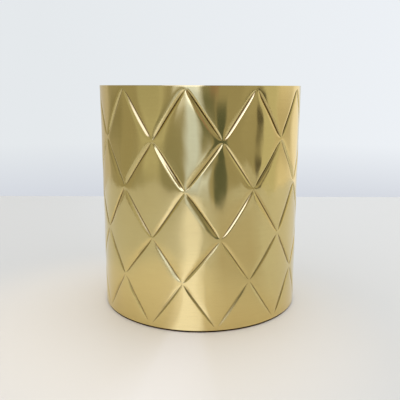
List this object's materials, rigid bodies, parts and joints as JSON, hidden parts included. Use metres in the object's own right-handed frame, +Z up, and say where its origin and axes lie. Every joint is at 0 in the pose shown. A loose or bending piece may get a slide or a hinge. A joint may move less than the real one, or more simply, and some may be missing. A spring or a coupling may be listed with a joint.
{
  "type": "cachepot",
  "caption": "Straight-sided round brass cachepot with a chased diamond lattice, open at the top, closed at the base and felted underneath, to hide a nursery pot.",
  "frame": {"origin": "on the table under the middle of the pot", "axes": "+Z up out of the mouth, -Y to the front where a column of crossings stands, +Y to the seam at the back"},
  "size_m": [0.115, 0.115, 0.127],
  "materials": {
    "polished_brass": "hand-polished sheet brass with faint turning scratches",
    "satin_brass": "satin sheet brass, a little tarnished",
    "braze_metal": "pale brazing metal, dressed smooth",
    "felt": "dark brown pressed felt"
  },
  "bodies": {
    "root": {"wall": "polished_brass", "seam_braze": "braze_metal", "base_disc": "satin_brass", "base_braze": "braze_metal", "felt_pad": "felt"}
  },
  "joints": []
}
